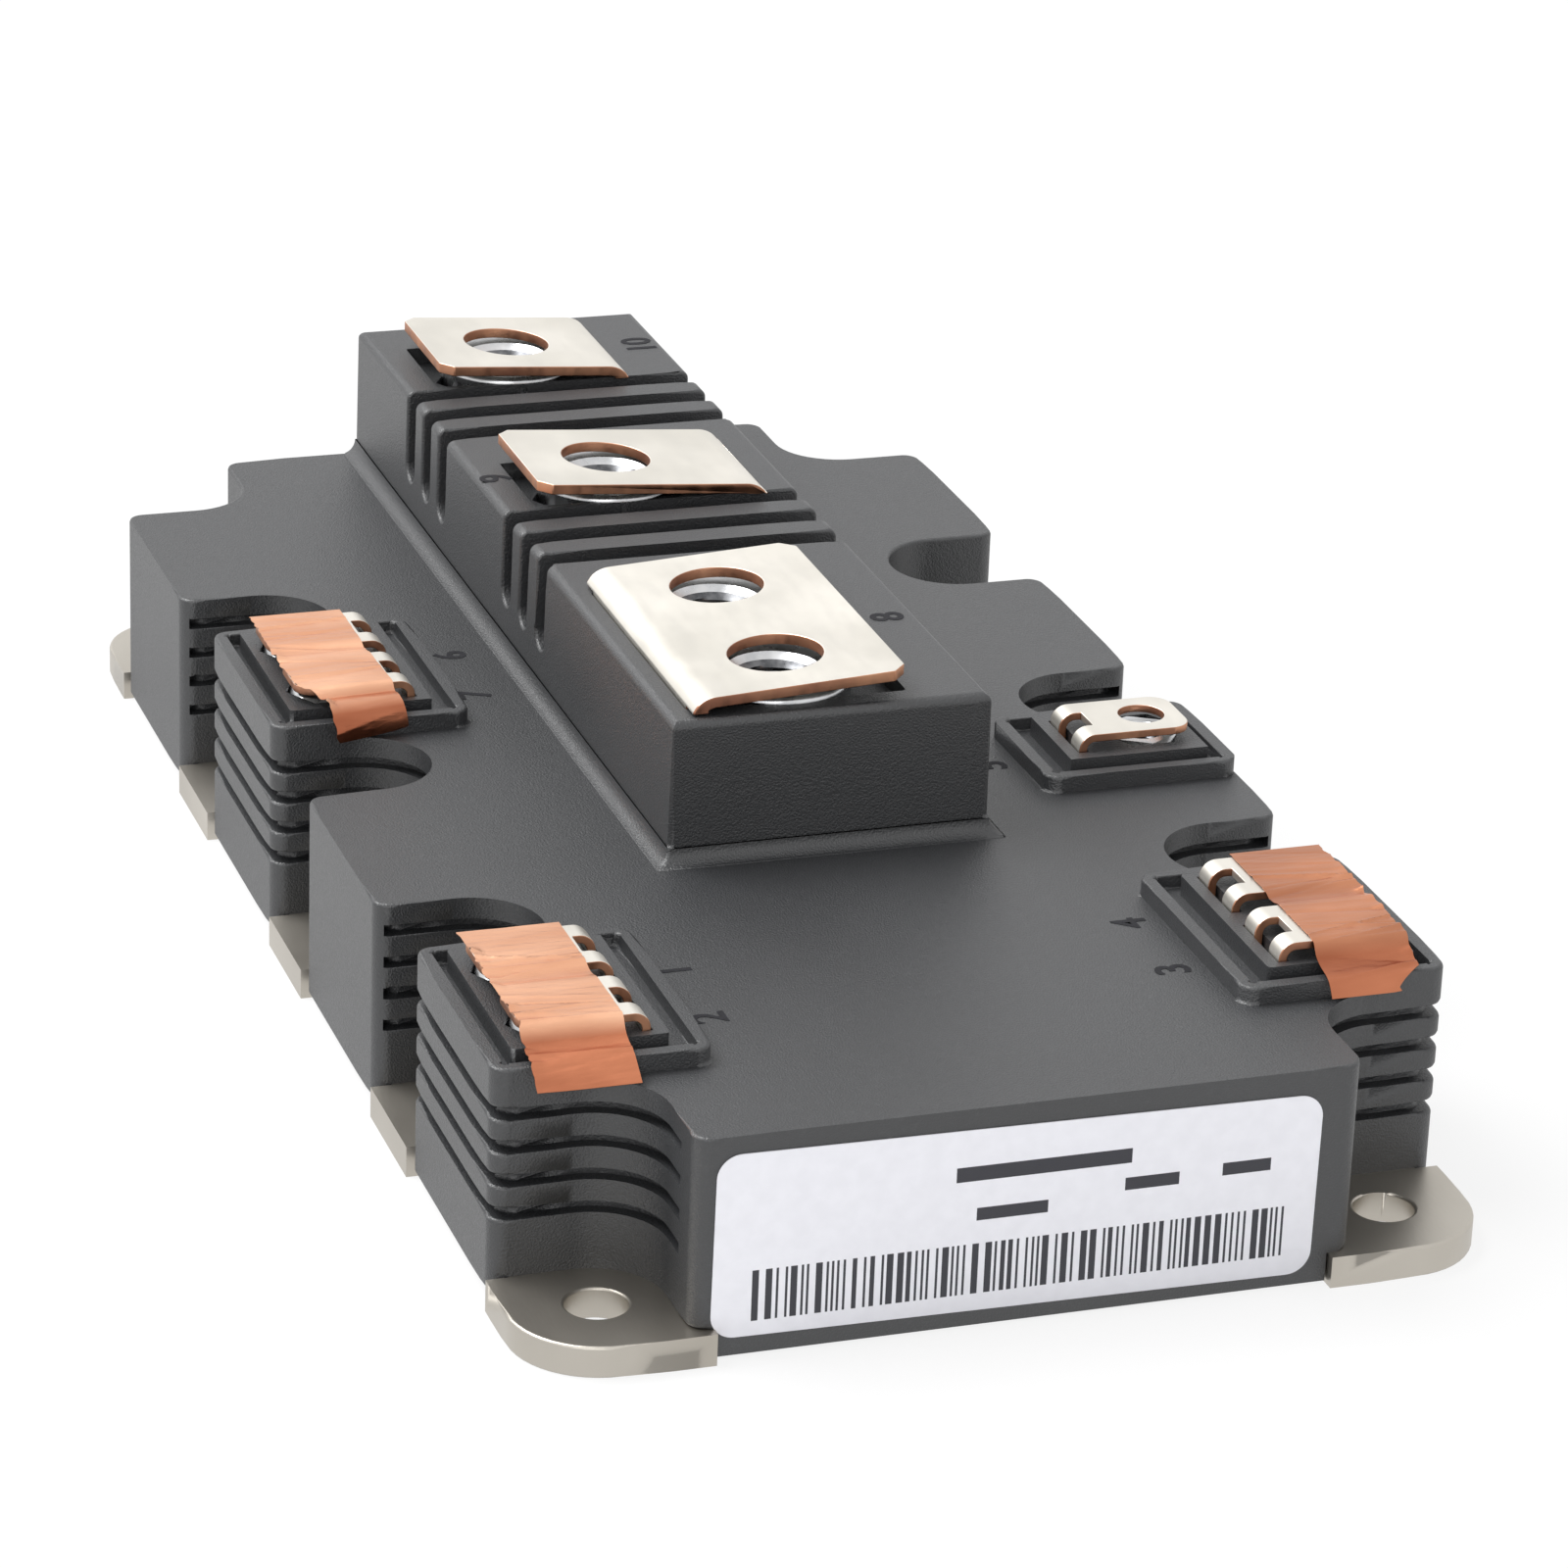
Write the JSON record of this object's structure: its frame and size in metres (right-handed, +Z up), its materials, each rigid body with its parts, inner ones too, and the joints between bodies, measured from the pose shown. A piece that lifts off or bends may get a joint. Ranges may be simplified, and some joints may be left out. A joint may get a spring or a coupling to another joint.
{
  "type": "power semiconductor module",
  "caption": "Flat half-bridge power module: ribbed black case on a metal base plate, bent screw terminals on a high ridge, small signal tabs along both sides.",
  "frame": {"origin": "bottom centre of the base plate", "axes": "+Z up away from the heat sink, +Y along the length towards the direct-current terminals, X across"},
  "size_m": [0.089, 0.172, 0.038],
  "materials": {
    "case_plastic": "fine matt moulded black plastic",
    "base_nickel": "satin nickel plating over copper",
    "terminal_nickel": "bright satin nickel plating over copper with bare copper cut edges",
    "nut_zinc": "bright zinc-plated steel",
    "copper_foil": "creased bare copper foil",
    "label_film": "white satin film",
    "tile_ceramic": "white ceramic with copper cladding",
    "chip_silicon": "polished silicon",
    "wire_aluminium": "drawn wire",
    "gel_clear": "clear soft gel"
  },
  "bodies": {
    "root": {"base_plate": "base_nickel", "housing": "case_plastic", "terminal_ridge": "case_plastic", "label": "label_film", "ac_terminal": "terminal_nickel", "dc_plus_terminal": "terminal_nickel", "dc_minus_terminal": "terminal_nickel", "power_nuts": "nut_zinc", "aux_nuts": "nut_zinc", "foil_strip_1_2": "copper_foil", "foil_strip_3_4": "copper_foil", "foil_strip_6_7": "copper_foil", "substrates": "tile_ceramic", "switch_chips": "chip_silicon", "diode_chips": "chip_silicon", "bond_wires": "wire_aluminium", "temperature_sensor": "tile_ceramic", "gel_fill": "gel_clear", "aux_terminal_1": "terminal_nickel", "aux_terminal_2": "terminal_nickel", "aux_terminal_3": "terminal_nickel", "aux_terminal_4": "terminal_nickel", "aux_terminal_5": "terminal_nickel", "aux_terminal_6": "terminal_nickel", "aux_terminal_7": "terminal_nickel"}
  },
  "joints": []
}
